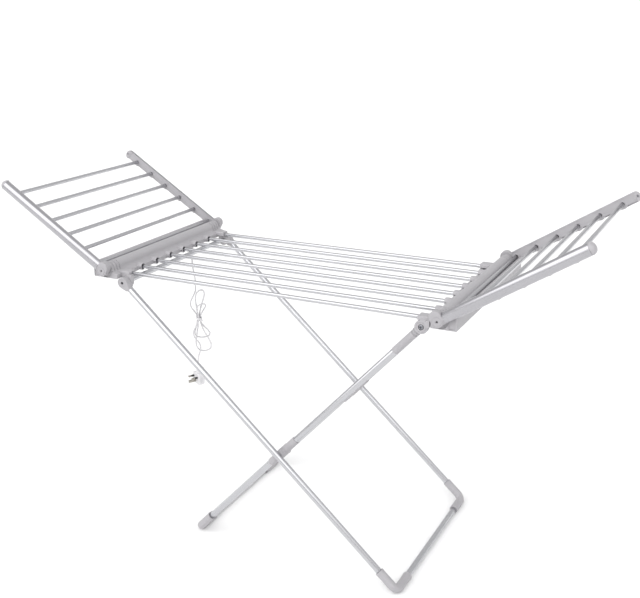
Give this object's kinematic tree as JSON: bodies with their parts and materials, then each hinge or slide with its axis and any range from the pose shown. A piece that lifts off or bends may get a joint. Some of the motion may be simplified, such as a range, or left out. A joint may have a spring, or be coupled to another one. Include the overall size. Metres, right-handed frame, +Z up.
{
  "type": "heated clothes airer",
  "caption": "Folding heated clothes airer: a panel of heated bars with two hinged wings on an X frame of tube legs, with a mains lead.",
  "frame": {"origin": "middle of the airer on the floor, with the cord and plug left out", "axes": "+Z up, X along the heated bars from one wing to the other, Y across the bars"},
  "size_m": [1.504, 0.5412, 0.9223],
  "materials": {
    "bar_aluminium": "satin anodised",
    "leg_aluminium": "satin anodised",
    "rail_aluminium": "satin anodised",
    "grey_plastic": "fine matt moulding",
    "white_plastic": "moulded gloss",
    "lead_pvc": "soft white sheath",
    "cable_silicone": "matt silicone"
  },
  "bodies": {
    "top_frame": {"end_beam_left": "grey_plastic", "end_beam_right": "grey_plastic", "centre_bar_1": "bar_aluminium", "centre_bar_2": "bar_aluminium", "centre_bar_3": "bar_aluminium", "centre_bar_4": "bar_aluminium", "centre_bar_5": "bar_aluminium", "centre_bar_6": "bar_aluminium", "centre_bar_7": "bar_aluminium", "centre_bar_8": "bar_aluminium", "heating_cable_centre": "cable_silicone", "strain_relief": "grey_plastic", "mains_lead_upper": "lead_pvc", "mains_lead_hank": "lead_pvc", "lead_tie": "white_plastic", "mains_lead_tail": "lead_pvc", "mains_plug": "white_plastic"},
    "wing_left": {"wing_left_rail_near": "rail_aluminium", "wing_left_rail_far": "rail_aluminium", "wing_left_liner_near": "grey_plastic", "wing_left_liner_far": "grey_plastic", "wing_left_end_cap_near": "grey_plastic", "wing_left_end_cap_far": "grey_plastic", "wing_left_tube_1": "bar_aluminium", "wing_left_tube_2": "bar_aluminium", "wing_left_tube_3": "bar_aluminium", "wing_left_tube_4": "bar_aluminium", "wing_left_tube_5": "bar_aluminium", "wing_left_tube_6": "bar_aluminium", "wing_left_heating_cable": "cable_silicone"},
    "wing_right": {"wing_right_rail_near": "rail_aluminium", "wing_right_rail_far": "rail_aluminium", "wing_right_liner_near": "grey_plastic", "wing_right_liner_far": "grey_plastic", "wing_right_end_cap_near": "grey_plastic", "wing_right_end_cap_far": "grey_plastic", "wing_right_tube_1": "bar_aluminium", "wing_right_tube_2": "bar_aluminium", "wing_right_tube_3": "bar_aluminium", "wing_right_tube_4": "bar_aluminium", "wing_right_tube_5": "bar_aluminium", "wing_right_tube_6": "bar_aluminium", "wing_right_heating_cable": "cable_silicone"},
    "leg_frame_a": {"leg_a_tube_near": "leg_aluminium", "leg_a_tube_far": "leg_aluminium", "leg_a_knuckle_near": "grey_plastic", "leg_a_knuckle_far": "grey_plastic", "leg_a_elbow_near": "grey_plastic", "leg_a_elbow_far": "grey_plastic", "leg_a_foot_tube": "leg_aluminium", "leg_a_top_tube": "leg_aluminium"},
    "leg_frame_b": {"leg_b_tube_near": "leg_aluminium", "leg_b_tube_far": "leg_aluminium", "leg_b_knuckle_near": "grey_plastic", "leg_b_knuckle_far": "grey_plastic", "leg_b_elbow_near": "grey_plastic", "leg_b_elbow_far": "grey_plastic", "leg_b_foot_tube": "leg_aluminium"},
    "pivot_sleeves": {"pivot_sleeve_near": "grey_plastic", "pivot_sleeve_far": "grey_plastic"}
  },
  "joints": [
    {"name": "wing_left_fold", "type": "hinge", "parent": "top_frame", "child": "wing_left", "pos_m": [-0.4395, 0, 0.7165], "axis": [0, 1, 0], "range_deg": [0, 147.2]},
    {"name": "wing_right_fold", "type": "hinge", "parent": "top_frame", "child": "wing_right", "pos_m": [0.4395, 0, 0.7165], "axis": [0, -1, 0], "range_deg": [0, 147.2]},
    {"name": "leg_a_fold", "type": "hinge", "parent": "top_frame", "child": "leg_frame_a", "pos_m": [-0.392, 0, 0.686], "axis": [0, -1, 0], "range_deg": [0, 41.56]},
    {"name": "leg_b_fold", "type": "hinge", "parent": "top_frame", "child": "leg_frame_b", "pos_m": [0.392, 0, 0.686], "axis": [0, 1, 0], "range_deg": [0, 46.1]},
    {"name": "sleeve_slide", "type": "slide", "parent": "leg_frame_b", "child": "pivot_sleeves", "axis": [0.6759, 0, 0.737], "range_m": [0, 0.31922]}
  ],
  "couplings": [
    {"joint": "leg_b_fold", "follows": "leg_a_fold", "ratio": 1.1086},
    {"joint": "sleeve_slide", "follows": "leg_a_fold", "m_per_rad": 0.43977}
  ]
}
